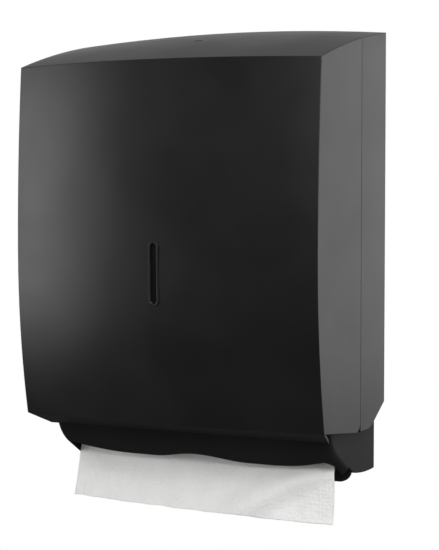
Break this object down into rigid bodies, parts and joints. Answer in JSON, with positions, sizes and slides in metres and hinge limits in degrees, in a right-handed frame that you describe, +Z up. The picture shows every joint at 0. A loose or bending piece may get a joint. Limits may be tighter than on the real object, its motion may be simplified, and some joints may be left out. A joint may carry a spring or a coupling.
{
  "type": "folded towel dispenser",
  "caption": "Wall-mounted black dispenser for folded paper towels, with a bowed cover hinged at its foot, a key lock on top, a slim sight window and an outlet tray that a towel hangs from.",
  "frame": {"origin": "middle of the four wall screw holes, on the back face that lies on the wall", "axes": "+Z up, +Y into the wall, so the front faces -Y, and +X to the right as seen from the front"},
  "size_m": [0.28, 0.1482, 0.4097],
  "materials": {
    "body_black": "satin moulded",
    "tray_black": "fine matt moulded",
    "smoked_window": "clear smoked",
    "white_nylon": "moulded",
    "steel": "zinc plated",
    "towel_paper": "embossed tissue"
  },
  "bodies": {
    "rear_housing": {"rear_housing": "body_black", "outlet_tray": "tray_black", "paper_guide_left": "white_nylon", "paper_guide_right": "white_nylon", "strike_plate": "steel", "hinge_pin_left": "steel", "hinge_pin_right": "steel", "hinge_washers": "white_nylon", "tray_screws": "steel", "guide_screws": "steel", "strike_screws": "steel", "towel_stack": "towel_paper"},
    "front_cover": {"front_cover": "body_black", "window_bezel": "body_black", "sight_window": "smoked_window", "lock_case": "tray_black", "spring_cap": "tray_black", "lock_spring": "steel", "lock_screws": "steel"},
    "lock_latch": {"lock_latch": "tray_black"},
    "hanging_towel": {"hanging_towel": "towel_paper"}
  },
  "joints": [
    {"name": "cover_hinge", "type": "hinge", "parent": "rear_housing", "child": "front_cover", "pos_m": [0, -0.059, -0.212], "axis": [1, 0, 0], "range_deg": [0, 56]},
    {"name": "latch_press", "type": "slide", "parent": "front_cover", "child": "lock_latch", "axis": [0, 0, -1], "range_m": [0, 0.005], "stiffness_N_per_m": 300, "springref_m": -0.003, "deforming": ["lock_spring"]},
    {"name": "towel_pull", "type": "slide", "parent": "rear_housing", "child": "hanging_towel", "axis": [0, -0.2419, -0.9703], "range_m": [0, 0.04]}
  ]
}
